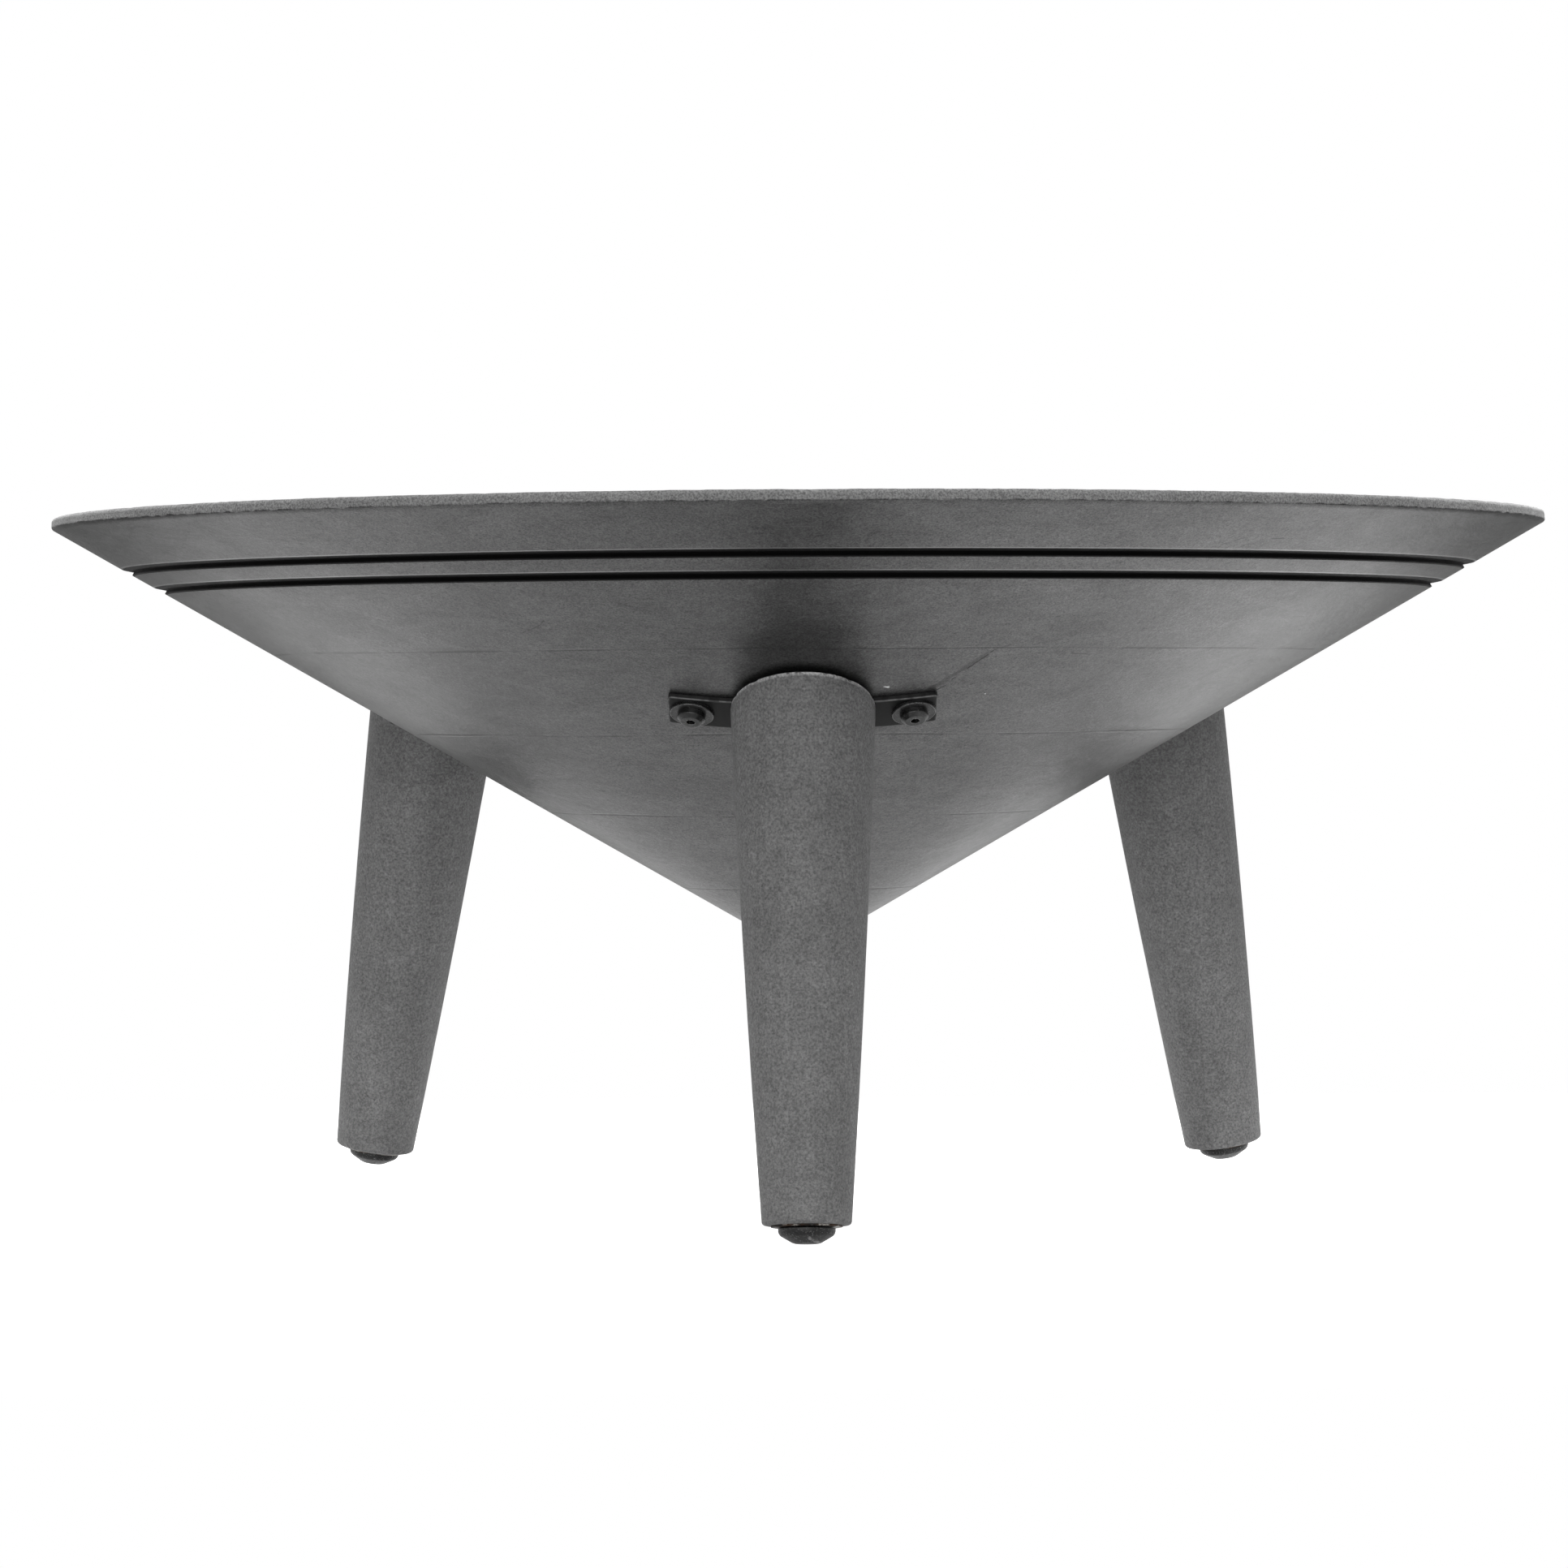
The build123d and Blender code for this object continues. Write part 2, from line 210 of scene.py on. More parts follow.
def scaled_colour(tree, colour, level):
    """Colour times a number that varies over the surface."""
    node = add(tree, "ShaderNodeVectorMath", {0: colour}, operation="SCALE")
    tree.links.new(level, node.inputs["Scale"])
    return node.outputs[0]


def tones(tree, *layers):
    """Product of layers, each (noise, its low and high values, the tone at each of them)."""
    factors = [spread(tree, *layer) for layer in layers]
    tone = factors[0]
    for factor in factors[1:]:
        tone = maths(tree, "MULTIPLY", tone, factor)
    return tone


def strongest(tree, masks):
    """Greatest of several masks."""
    result = masks[0]
    for other in masks[1:]:
        result = maths(tree, "MAXIMUM", result, other)
    return result


def worn_edges(tree):
    """The wear that the mesh carries, 1 along its worn edges."""
    return add(tree, "ShaderNodeAttribute", attribute_name="wear").outputs["Fac"]


def bumped(tree, heights):
    """Normal from (height, distance) pairs, each on top of the one before."""
    normal = None
    for height, distance in heights:
        sockets = {"Height": height, "Distance": distance, "Strength": 1.0}
        if normal is not None:
            sockets["Normal"] = normal
        normal = add(tree, "ShaderNodeBump", sockets).outputs[0]
    return normal


def new_material(name, metallic, specular):
    """Material with its node tree, its shader and the position on the object."""
    material = bpy.data.materials.new(name)
    material.use_nodes = True
    tree = material.node_tree
    shader = tree.nodes["Principled BSDF"]
    shader.inputs["Metallic"].default_value = metallic
    shader.inputs["Specular IOR Level"].default_value = specular
    position = add(tree, "ShaderNodeTexCoord").outputs["Object"]
    return material, tree, shader, position


def wire(tree, shader, colour, roughness, normal):
    """Link what varies over the surface to the shader."""
    tree.links.new(colour, shader.inputs["Base Color"])
    tree.links.new(roughness, shader.inputs["Roughness"])
    tree.links.new(normal, shader.inputs["Normal"])


# ======== materials ========

def around_cone(tree, position):
    """Radius from the axis, height, and depth under the outer wall."""
    parts = add(tree, "ShaderNodeSeparateXYZ", {0: position}).outputs
    flat = add(tree, "ShaderNodeCombineXYZ", {0: parts[0], 1: parts[1]}).outputs[0]
    radius = add(tree, "ShaderNodeVectorMath", {0: flat}, operation="LENGTH").outputs["Value"]
    line = maths(tree, "MULTIPLY_ADD", radius, tan(SLOPE), TIP)
    depth = maths(tree, "MULTIPLY", maths(tree, "SUBTRACT", parts[2], line), cos(SLOPE))
    return radius, parts[2], depth


def mark(tree, warped, start, end, half_width):
    """1 on a straight scratch or chip between two points of the surface, fading to its edges."""
    a = Vector(start)
    b = Vector(end)
    run = b - a
    from_start = add(tree, "ShaderNodeVectorMath", {0: warped, 1: a}, operation="SUBTRACT").outputs[0]
    along = add(tree, "ShaderNodeVectorMath", {0: from_start, 1: run}, operation="DOT_PRODUCT")
    share = maths(tree, "DIVIDE", along.outputs["Value"], run.length_squared)
    held = spread(tree, share, 0.0, 1.0, smooth=False)
    nearest = add(tree, "ShaderNodeVectorMath", {0: run}, operation="SCALE")
    tree.links.new(held, nearest.inputs["Scale"])
    gap = add(tree, "ShaderNodeVectorMath", {0: from_start, 1: nearest.outputs[0]}, operation="DISTANCE")
    return spread(tree, gap.outputs["Value"], half_width, 0.4 * half_width)


# marks on the outer wall: (degrees round from the front, millimetres from the axis) of both ends,
# half width in millimetres, and a dark mark's strength
DARK_MARKS = (
    ((-20.4, 419), (-18.9, 416), 1.0, 0.8),
    ((20.4, 332), (15.0, 279), 0.7, 0.9),
    ((19.0, 318), (14.8, 286), 2.8, 0.42),
    ((37.0, 425), (50.5, 450), 0.7, 0.6),
    ((33.0, 421), (41.0, 447), 0.7, 0.5),
    ((42.0, 368), (40.0, 396), 0.7, 0.5),
    ((-31.5, 398), (-31.0, 404), 0.6, 0.6),
    ((-12.0, 262), (-16.5, 236), 0.6, 0.45),
    ((-24.0, 352), (-29.0, 334), 0.7, 0.5),
    ((28.5, 320), (30.5, 318), 0.8, 0.5),
)
PALE_CHIPS = (
    ((9.1, 287), (9.6, 286.6), 1.5),
    ((19.6, 276), (19.7, 276), 0.7),
    ((21.4, 280), (21.5, 280), 0.6),
    ((18.3, 290), (18.4, 290), 0.5),
)
SEAMS = (187 * MM, 138.5 * MM, 90 * MM, 43 * MM)   # heights above the tip where cast layers meet
LIP_HIGHLIGHT = 0.5                  # strength of the painted highlight along each groove's upper edge
LIP_HIGHLIGHT_PLACE = 0.6 * MM       # from a groove's upper edge to the middle of the painted highlight


def on_wall(degrees, distance):
    """Point of the outer wall, that far round from the front and from the axis."""
    radius = distance * MM
    turn = radians(degrees)
    return (radius * sin(turn), -radius * cos(turn), wall_height(radius))


def wall_marks(tree, position):
    """Masks of the dark marks and of the pale chips, on lines that wander a little."""
    wander = add(tree, "ShaderNodeTexNoise", {"Vector": position, "Scale": 45.0, "Detail": 4.0})
    moved = add(tree, "ShaderNodeVectorMath", {0: wander.outputs["Color"], 1: (0.5, 0.5, 0.5)},
                operation="SUBTRACT").outputs[0]
    warped = add(tree, "ShaderNodeVectorMath", {0: moved, 1: Vector((9, 9, 9)) * MM, 2: position},
                 operation="MULTIPLY_ADD").outputs[0]
    dark = []
    for start, end, half_width, strength in DARK_MARKS:
        stroke = mark(tree, warped, on_wall(*start), on_wall(*end), half_width * MM)
        dark.append(maths(tree, "MULTIPLY", stroke, strength))
    pale = []
    for start, end, half_width in PALE_CHIPS:
        pale.append(mark(tree, warped, on_wall(*start), on_wall(*end), half_width * MM))
    return strongest(tree, dark), strongest(tree, pale)


def layer_seams(tree, position, height, depth):
    """Mask of the faint level hairlines where the cast layers meet, on the outer wall alone."""
    wobble = maths(tree, "MULTIPLY_ADD", cloud(tree, position, 9, 2), 2.4 * MM, -1.2 * MM)
    level = maths(tree, "ADD", height, wobble)
    seams = []
    for above_tip in SEAMS:
        gap = maths(tree, "ABSOLUTE", maths(tree, "SUBTRACT", level, TIP + above_tip))
        seams.append(spread(tree, gap, 0.7 * MM, 0.1 * MM))
    broken = spread(tree, cloud(tree, position, 14, 3), 0.4, 0.5, 0.25, 1.0)
    outside = spread(tree, depth, 2.0 * MM, 0.5 * MM)
    return maths(tree, "MULTIPLY", maths(tree, "MULTIPLY", strongest(tree, seams), broken), outside)


def groove_black_and_lip_highlight(tree, position, radius, depth):
    """Masks of the black in the grooves and under their lower lips, and of the painted highlight along
    the edges above.

    The black is held to the outer skin. The painted highlight isn't, so it marks the inner wall too.
    """
    along = maths(tree, "ADD", maths(tree, "DIVIDE", radius, cos(SLOPE)),
                  maths(tree, "MULTIPLY", depth, tan(SLOPE)))
    ragged = maths(tree, "MULTIPLY_ADD", cloud(tree, position, 300, 2), 0.5 * MM, -0.25 * MM)
    worn_along = maths(tree, "ADD", along, ragged)
    skin = spread(tree, depth, 6 * MM, 5 * MM)
    black = []
    lip_highlight = []
    for lower_radius in GROOVE_LOWER_RADII:
        lip = lower_radius / cos(SLOPE)
        smeared = lip - GROOVE_SMEAR
        upper = lip + GROOVE_WIDTH
        start = spread(tree, worn_along, smeared - 0.2 * MM, smeared + 0.2 * MM)
        end = spread(tree, worn_along, upper + 0.1 * MM, upper - 0.7 * MM)
        black.append(maths(tree, "MULTIPLY", start, end))
        # painted highlight: a pale line just above the groove's upper edge
        gap = maths(tree, "ABSOLUTE", maths(tree, "SUBTRACT", worn_along, upper + LIP_HIGHLIGHT_PLACE))
        lip_highlight.append(spread(tree, gap, 0.6 * MM, 0.2 * MM))
    return maths(tree, "MULTIPLY", strongest(tree, black), skin), strongest(tree, lip_highlight)


def sandy_rim(tree, position, radius, height):
    """Mask of the pale rim, with an uneven border."""
    uneven = maths(tree, "MULTIPLY_ADD", cloud(tree, position, 130, 3), 2.2 * MM, -1.1 * MM)
    above = spread(tree, maths(tree, "ADD", height, uneven), RIM_LOW, RIM_LOW + 0.5 * MM)
    inner_edge = RIM_RADIUS - (WALL / sin(SLOPE) - RIM_EDGE / tan(SLOPE))
    outer = spread(tree, maths(tree, "ADD", radius, uneven), inner_edge, inner_edge + 1 * MM)
    return maths(tree, "MULTIPLY", above, outer)


def bowl_material():
    """Fine sand-cast iron, brushed and sealed: graphite grey, cloudy, with a pale sandy rim edge."""
    material, tree, shader, position = new_material("bowl_iron", 0.85, 0.5)
    radius, height, depth = around_cone(tree, position)

    broad = cloud(tree, position, 3.2, 3, 0.5)
    patches = cloud(tree, position, 17, 5, 0.6, 0.6)
    streaks = cloud(tree, stretched(tree, position, (14, 14, 46), (0.5, 0.35, 0.2)), 1.6, 5, 0.6, 0.8)
    fibres = cloud(tree, stretched(tree, position, (160, 160, 420)), 1.0, 3, 0.6)
    mottle = cloud(tree, position, 330, 4, 0.75)
    grain = cloud(tree, position, 900, 3, 0.75)
    pits = cloud(tree, position, 240, 2, 0.5)
    sand = cloud(tree, position, 900, 2, 0.7)
    pores = spread(tree, cloud(tree, position, 460, 2, 0.5), 0.36, 0.28)
    tone = tones(tree, (broad, 0.3, 0.7, 0.9, 1.1), (patches, 0.3, 0.7, 0.88, 1.12),
                 (streaks, 0.32, 0.68, 0.9, 1.1), (fibres, 0.25, 0.75, 0.94, 1.06),
                 (mottle, 0.35, 0.65, 0.9, 1.1), (grain, 0.3, 0.7, 0.6, 1.4))
    rim_tone = tones(tree, (sand, 0.3, 0.7, 0.62, 1.38), (patches, 0.3, 0.7, 0.9, 1.1))

    dark, pale = wall_marks(tree, position)
    seams = layer_seams(tree, position, height, depth)
    black, lip_highlight = groove_black_and_lip_highlight(tree, position, radius, depth)
    rim = sandy_rim(tree, position, radius, height)

    colour = scaled_colour(tree, grey(0.127)[:3], tone)
    colour = mixed(tree, maths(tree, "MULTIPLY", pores, 0.4), colour, grey(0.03))
    colour = mixed(tree, dark, colour, grey(0.02))
    colour = mixed(tree, maths(tree, "MULTIPLY", seams, 0.45), colour, grey(0.035))
    # painted highlight along the upper edge of each groove
    colour = mixed(tree, maths(tree, "MULTIPLY", lip_highlight, LIP_HIGHLIGHT), colour, grey(0.4))
    colour = mixed(tree, black, colour, grey(0.012))
    colour = mixed(tree, pale, colour, grey(0.9))
    colour = mixed(tree, rim, colour, scaled_colour(tree, grey(0.37)[:3], rim_tone))

    roughness = spread(tree, patches, 0.3, 0.7, 0.35, 0.43)
    roughness = maths(tree, "ADD", roughness, spread(tree, grain, 0.3, 0.7, -0.03, 0.04))
    roughness = maths(tree, "ADD", roughness, maths(tree, "MULTIPLY", rim, 0.28))
    roughness = maths(tree, "ADD", roughness, maths(tree, "MULTIPLY", black, 0.3))
    normal = bumped(tree, [
        (patches, 0.5 * MM),
        (streaks, 0.5 * MM),
        (pits, 0.1 * MM),
        (grain, 0.07 * MM),
        (maths(tree, "MULTIPLY", seams, -1.0), 0.15 * MM),
        (maths(tree, "MULTIPLY", sand, rim), 0.4 * MM),
    ])
    wire(tree, shader, colour, roughness, normal)
    return material


def leg_material():
    """Sand-cast iron, matte, with a fuzzy grain, faint upright streaks and a pale, chipped top edge."""
    material, tree, shader, position = new_material("leg_iron", 0.0, 0.4)
    patches = cloud(tree, position, 22, 4, 0.6, 0.4)
    streaks = cloud(tree, stretched(tree, position, (110, 110, 9)), 1.0, 4, 0.6, 0.3)
    weave = cloud(tree, stretched(tree, position, (60, 60, 190)), 1.0, 3, 0.6)
    mottle = cloud(tree, position, 330, 4, 0.75)
    grain = cloud(tree, position, 700, 3, 0.75)
    dents = cloud(tree, position, 260, 3, 0.6, 0.5)
    pores = spread(tree, cloud(tree, position, 480, 2, 0.5), 0.36, 0.28)
    tone = tones(tree, (patches, 0.3, 0.7, 0.9, 1.1), (streaks, 0.3, 0.7, 0.94, 1.05),
                 (weave, 0.3, 0.7, 0.95, 1.05), (mottle, 0.35, 0.65, 0.88, 1.12),
                 (grain, 0.3, 0.7, 0.6, 1.4))
    colour = scaled_colour(tree, grey(0.14)[:3], tone)
    colour = mixed(tree, maths(tree, "MULTIPLY", pores, 0.45), colour, grey(0.03))
    worn = spread(tree, cloud(tree, position, 260, 4, 0.7), 0.34, 0.56)
    chips = maths(tree, "MULTIPLY", worn_edges(tree), worn)
    sandy = scaled_colour(tree, grey(0.52)[:3], spread(tree, grain, 0.3, 0.7, 0.6, 1.4))
    colour = mixed(tree, chips, colour, sandy)
    roughness = spread(tree, patches, 0.3, 0.7, 0.52, 0.64)
    normal = bumped(tree, [(patches, 0.4 * MM), (dents, 0.45 * MM), (grain, 0.12 * MM)])
    wire(tree, shader, colour, roughness, normal)
    return material


def painted_steel():
    """Black paint on flat bar, a little thin along the edges."""
    material, tree, shader, position = new_material("black_steel", 0.0, 0.12)
    orange_peel = cloud(tree, position, 420, 2, 0.5)
    dust = cloud(tree, position, 60, 4, 0.6)
    colour = scaled_colour(tree, grey(0.013)[:3], spread(tree, dust, 0.3, 0.7, 0.75, 1.3))
    rubbed = spread(tree, cloud(tree, position, 180, 3), 0.35, 0.6, 0.35, 1.0)
    thin = maths(tree, "MULTIPLY", worn_edges(tree), rubbed)
    colour = mixed(tree, thin, colour, grey(0.2))
    roughness = spread(tree, dust, 0.3, 0.7, 0.5, 0.62)
    normal = bumped(tree, [(orange_peel, 0.05 * MM)])
    wire(tree, shader, colour, roughness, normal)
    return material


def fastener_steel():
    """Black-oxide steel, dry and slightly worn, with softened edges that catch the light and a painted
    highlight along them.
    """
    material, tree, shader, position = new_material("fastener_steel", 0.85, 0.5)
    dust = cloud(tree, position, 90, 4, 0.6)
    specks = cloud(tree, position, 520, 3, 0.6)
    colour = scaled_colour(tree, grey(0.055)[:3], spread(tree, dust, 0.3, 0.7, 0.7, 1.35))
    colour = mixed(tree, spread(tree, specks, 0.64, 0.74, 0.0, 0.5), colour, grey(0.28))
    soft = add(tree, "ShaderNodeBevel", {"Radius": 0.35 * MM}, samples=6).outputs[0]
    facing = add(tree, "ShaderNodeNewGeometry").outputs["Normal"]
    bent = add(tree, "ShaderNodeVectorMath", {0: soft, 1: facing}, operation="DISTANCE").outputs["Value"]
    worn = spread(tree, specks, 0.3, 0.6, 0.4, 1.0)
    # painted highlight: paler colour along every softened edge, broken up by the specks
    bright = maths(tree, "MULTIPLY", spread(tree, bent, 0.15, 0.5), worn)
    colour = mixed(tree, maths(tree, "MULTIPLY", bright, 0.7), colour, grey(0.6))
    roughness = spread(tree, specks, 0.3, 0.7, 0.26, 0.42)
    sockets = {"Height": specks, "Distance": 0.03 * MM, "Normal": soft}
    normal = add(tree, "ShaderNodeBump", sockets).outputs[0]
    wire(tree, shader, colour, roughness, normal)
    return material


def zinc_steel():
    """Zinc-plated steel, dulled by grime and rust, with a few places still bright."""
    material, tree, shader, position = new_material("zinc_steel", 1.0, 0.5)
    bloom = cloud(tree, position, 75, 4, 0.65)
    turned = cloud(tree, stretched(tree, position, (300, 300, 900)), 1.0, 2, 0.5)
    colour = scaled_colour(tree, (0.4, 0.385, 0.36), spread(tree, turned, 0.3, 0.7, 0.8, 1.15))
    rust = spread(tree, cloud(tree, position, 130, 3), 0.45, 0.6)
    dirt = mixed(tree, rust, grey(0.02), (0.05, 0.026, 0.014, 1))
    colour = mixed(tree, spread(tree, bloom, 0.38, 0.47, 0.0, 0.95), colour, dirt)
    roughness = spread(tree, bloom, 0.4, 0.6, 0.26, 0.65)
    normal = bumped(tree, [(turned, 0.04 * MM)])
    wire(tree, shader, colour, roughness, normal)
    return material


# slanting scrape across the front pad, as it is seen from the front: both ends and half width
PAD_SCRAPE = (Vector((1.2, 0, 5.6)) * MM, Vector((6.8, 0, 2.0)) * MM, 1.3 * MM)


def pad_nylon():
    """Black moulded nylon, scuffed by the floor."""
    material, tree, shader, position = new_material("pad_nylon", 0.0, 0.35)
    mould = cloud(tree, position, 500, 3, 0.6)
    scuff_place = stretched(tree, position, (900, 260, 900), (0.3, 0.6, 0.75))
    scuffs = spread(tree, cloud(tree, scuff_place, 1.0, 4, 0.7), 0.55, 0.68)
    dust = cloud(tree, position, 120, 3)
    colour = scaled_colour(tree, grey(0.01)[:3], spread(tree, dust, 0.3, 0.7, 0.7, 1.5))
    colour = mixed(tree, maths(tree, "MULTIPLY", scuffs, 0.7), colour, grey(0.2))
    flattened = add(tree, "ShaderNodeVectorMath", {0: position, 1: (1, 0, 1)}, operation="MULTIPLY")
    scrape = mark(tree, flattened.outputs[0], *PAD_SCRAPE)
    scrape = maths(tree, "MULTIPLY", scrape, spread(tree, mould, 0.4, 0.6, 0.15, 0.8))
    colour = mixed(tree, scrape, colour, grey(0.3))
    roughness = maths(tree, "ADD", spread(tree, mould, 0.3, 0.7, 0.33, 0.45),
                      maths(tree, "MULTIPLY", scuffs, 0.2))
    normal = bumped(tree, [(mould, 0.05 * MM), (scuffs, -0.06 * MM)])
    wire(tree, shader, colour, roughness, normal)
    return material


# ======== mesh helpers ========

def arc(centre, radius, start, end, steps):
    """Points on an arc in (radius, height), from one angle to another."""
    turns = [start + (end - start) * i / steps for i in range(steps + 1)]
    return [(centre[0] + radius * cos(t), centre[1] + radius * sin(t)) for t in turns]


def line(start, end, step):
    """Points from start up to, but without, end, about a step apart."""
    count = max(1, round(hypot(end[0] - start[0], end[1] - start[1]) / step))
    return [tuple(a + (b - a) * i / count for a, b in zip(start, end)) for i in range(count)]


def make_object(name, vertices, faces, material, wear=None):
    """Smooth mesh object of one material, with its wear at each vertex if it has any."""
    mesh = bpy.data.meshes.new(name)
    mesh.from_pydata(vertices, [], faces)
    mesh.update()
    mesh.polygons.foreach_set("use_smooth", [True] * len(mesh.polygons))
    if wear is not None:
        mesh.attributes.new("wear", "FLOAT", "POINT").data.foreach_set("value", wear)
    mesh.materials.append(material)
    piece = bpy.data.objects.new(name, mesh)
    bpy.context.scene.collection.objects.link(piece)
    return piece


def ring_faces(rings, around):
    """Quads between rings of vertices, each ring that many vertices long."""
    faces = []
    for ring in range(rings - 1):
        here = ring * around
        there = here + around
        for i in range(around):
            j = (i + 1) % around
            faces.append((here + i, here + j, there + j, there + i))
    return faces


def stand_for(piece, node, body="frame"):
    """Show a piece in place of a CAD node."""
    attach(piece, body)
    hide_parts(node)


# ======== bowl ========

def groove_outline(lower_radius):
    """From just below the lower lip to the rounded lip above, upwards along the wall."""
    along = (cos(SLOPE), sin(SLOPE))
    inward = (-sin(SLOPE), cos(SLOPE))

    def at(distance, depth):
        base = (lower_radius, wall_height(lower_radius))
        return (base[0] + along[0] * distance + inward[0] * depth,
                base[1] + along[1] * distance + inward[1] * depth)

    shelf = atan2(GROOVE_DEPTH, GROOVE_WIDTH)
    reach = GROOVE_LIP_ROUND * tan(shelf / 2)
    points = [at(-GROOVE_LOWER_LIP * out, GROOVE_LOWER_LIP * into)
              for out, into in ((1, 0), (0.3, 0.08), (0.08, 0.3), (0, 1))]
    points += [at(0, share * GROOVE_DEPTH) for share in (0.4, 0.7, 0.95)]
    points += [at(share * GROOVE_WIDTH, (1 - share) * GROOVE_DEPTH) for share in (0.03, 0.3, 0.6, 0.8)]
    centre = (GROOVE_WIDTH + reach, GROOVE_LIP_ROUND)
    for step in range(5):
        turn = shelf * (1 - step / 4)
        points.append(at(centre[0] - GROOVE_LIP_ROUND * sin(turn),
                         centre[1] - GROOVE_LIP_ROUND * cos(turn)))
    return points


def bowl_outline():
    """Outer tip, outer wall, grooves, rim and inner wall, down to the bottom of the well."""
    outer_centre = TIP + TIP_ROUND / cos(SLOPE)
    points = arc((0, outer_centre), TIP_ROUND, -pi / 2, -pi / 2 + SLOPE, 5)[1:]
    for lower_radius in reversed(GROOVE_LOWER_RADII):
        groove = groove_outline(lower_radius)
        points += line(points[-1], groove[0], 9 * MM)[1:] + groove
    rim_low = (RIM_RADIUS - RIM_CORNER * cos(SLOPE), RIM_LOW - RIM_CORNER * sin(SLOPE))
    points += line(points[-1], rim_low, 4 * MM)[1:] + [rim_low, (RIM_RADIUS, RIM_LOW + RIM_CORNER)]
    outer_round = (RIM_RADIUS - RIM_ROUND, RIM_TOP - RIM_ROUND)
    points += line(points[-1], (RIM_RADIUS, outer_round[1]), 0.6 * MM)[1:]
    points += arc(outer_round, RIM_ROUND, 0, pi / 2, 6)
    well_tip = TIP + WALL / cos(SLOPE)
    inner_rim = (RIM_TOP - well_tip) / tan(SLOPE)
    reach = RIM_ROUND * tan((pi - SLOPE) / 4)
    inner_corner = inner_rim + reach
    points += line(points[-1], (inner_corner, RIM_TOP), 1.2 * MM)[1:]
    points += arc((inner_corner, RIM_TOP - RIM_ROUND), RIM_ROUND, pi / 2, pi / 2 + (pi - SLOPE) / 2, 6)
    well_centre = well_tip + WELL_ROUND / cos(SLOPE)
    well = arc((0, well_centre), WELL_ROUND, -pi / 2 + SLOPE, -pi / 2, 8)
    points += line(points[-1], well[0], 10 * MM)[1:] + well[:-1]
    return points, outer_centre - TIP_ROUND, well_centre - WELL_ROUND


def make_bowl(material):
    """Turned outline with faint waves on the wall and a coarse, sandy rim, worn in and down."""
    outline, tip_height, well_height = bowl_outline()
    wave_scale, wave_depth = WALL_WAVES
    vertices = []
    for radius, height in outline:
        on_rim = height > RIM_LOW - 0.3 * MM and radius > RIM_SAND_FROM
        inward = 1 if radius > RIM_RADIUS - 4 * MM else -0.3
        for i in range(BOWL_SIDES):
            turn = 2 * pi * i / BOWL_SIDES
            out = Vector((sin(turn), -cos(turn), 0))
            place = out * radius + Vector((0, 0, height))
            if on_rim:
                worn = sum(abs(noise.noise(place * scale)) * depth for scale, depth in RIM_SAND)
                place -= out * worn * inward
                place.z -= worn * 0.7
            elif radius < RIM_SAND_FROM:
                place.z += noise.noise(place * wave_scale) * wave_depth
            vertices.append(place)
    rings = len(outline)
    faces = ring_faces(rings, BOWL_SIDES)
    tip = len(vertices)
    well = tip + 1
    vertices += [Vector((0, 0, tip_height)), Vector((0, 0, well_height))]
    last = (rings - 1) * BOWL_SIDES
    for i in range(BOWL_SIDES):
        following = (i + 1) % BOWL_SIDES
        faces.append((tip, following, i))
        faces.append((well, last + i, last + following))
    piece = make_object("bowl_casting", vertices, faces, material)
    stand_for(piece, "hearth_bowl")


# ======== legs ========

def leg_frame():
    """Matrix of the front leg's lower end: z points down along the leg."""
    down = Vector((0, -sin(LEG_LEAN), -cos(LEG_LEAN)))
    across = Vector((1, 0, 0))
    other = down.cross(across)
    place = Matrix((across, other, down)).transposed().to_4x4()
    place.translation = Vector((0, -LEG_END_REACH, LEG_END_HEIGHT))
    return place


def leg_radius(up):
    """Radius of the leg that far up from its end: a taper with a slight swell."""
    share = up / LEG_BLANK
    taper = LEG_END_RADIUS + (LEG_BLANK_RADIUS - LEG_END_RADIUS) * share
    return taper + LEG_SWELL * 4 * share * (1 - share)


def leg_top(frame_matrix, turn):
    """How far up the leg its side meets the strap's outer face, for one line of the side."""
    low, high = LEG_CUT_ABOVE, LEG_BLANK
    for _ in range(BISECTIONS):
        middle = (low + high) / 2
        radius = leg_radius(middle)
        point = frame_matrix @ Vector((radius * cos(turn), radius * sin(turn), -middle))
        under = point.z < wall_height(hypot(point.x, point.y), STRAP_THICKNESS)
        low, high = (middle, high) if under else (low, middle)
    return low


# (radius, depth) along the bore for the foot, from its blind end to the leg's end face
LEG_BORE = (
    (STUD_HOLE_RADIUS, STUD_HOLE_DEPTH),
    (STUD_HOLE_RADIUS, BUSH_HOLE_DEPTH),
    (BUSH_HOLE_RADIUS, BUSH_HOLE_DEPTH),
    (BUSH_HOLE_RADIUS, LEG_SEAT_DEPTH),
    (LEG_SEAT_RADIUS, LEG_SEAT_DEPTH),
    (LEG_SEAT_RADIUS, 0.0),
)


